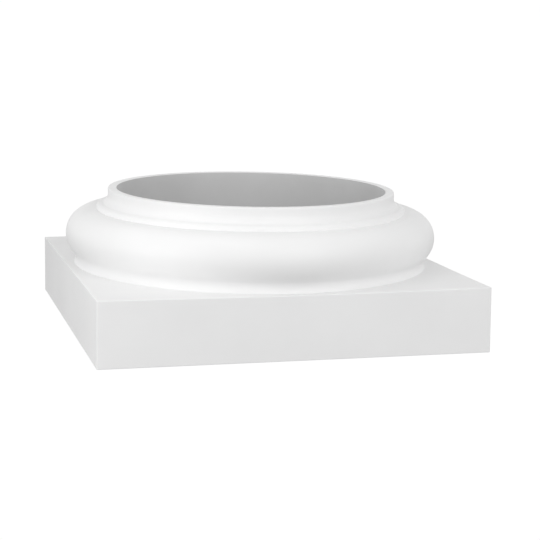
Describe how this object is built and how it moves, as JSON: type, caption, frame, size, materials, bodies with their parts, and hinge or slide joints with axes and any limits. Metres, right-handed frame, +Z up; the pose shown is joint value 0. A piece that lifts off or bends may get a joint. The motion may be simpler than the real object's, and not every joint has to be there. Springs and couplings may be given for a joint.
{
  "type": "column base",
  "caption": "Classical column base: square plinth under a round torus, listel and cavetto neck, with a plain through bore that takes a column shaft.",
  "frame": {"origin": "centre of the plinth's underside, on the bore's axis", "axes": "+Z up along the bore's axis; +X and +Y square to the plinth's sides"},
  "size_m": [0.4, 0.4, 0.145],
  "materials": {
    "casting": "white primed hard polymer casting"
  },
  "bodies": {
    "root": {"column_base": "casting"}
  },
  "joints": []
}
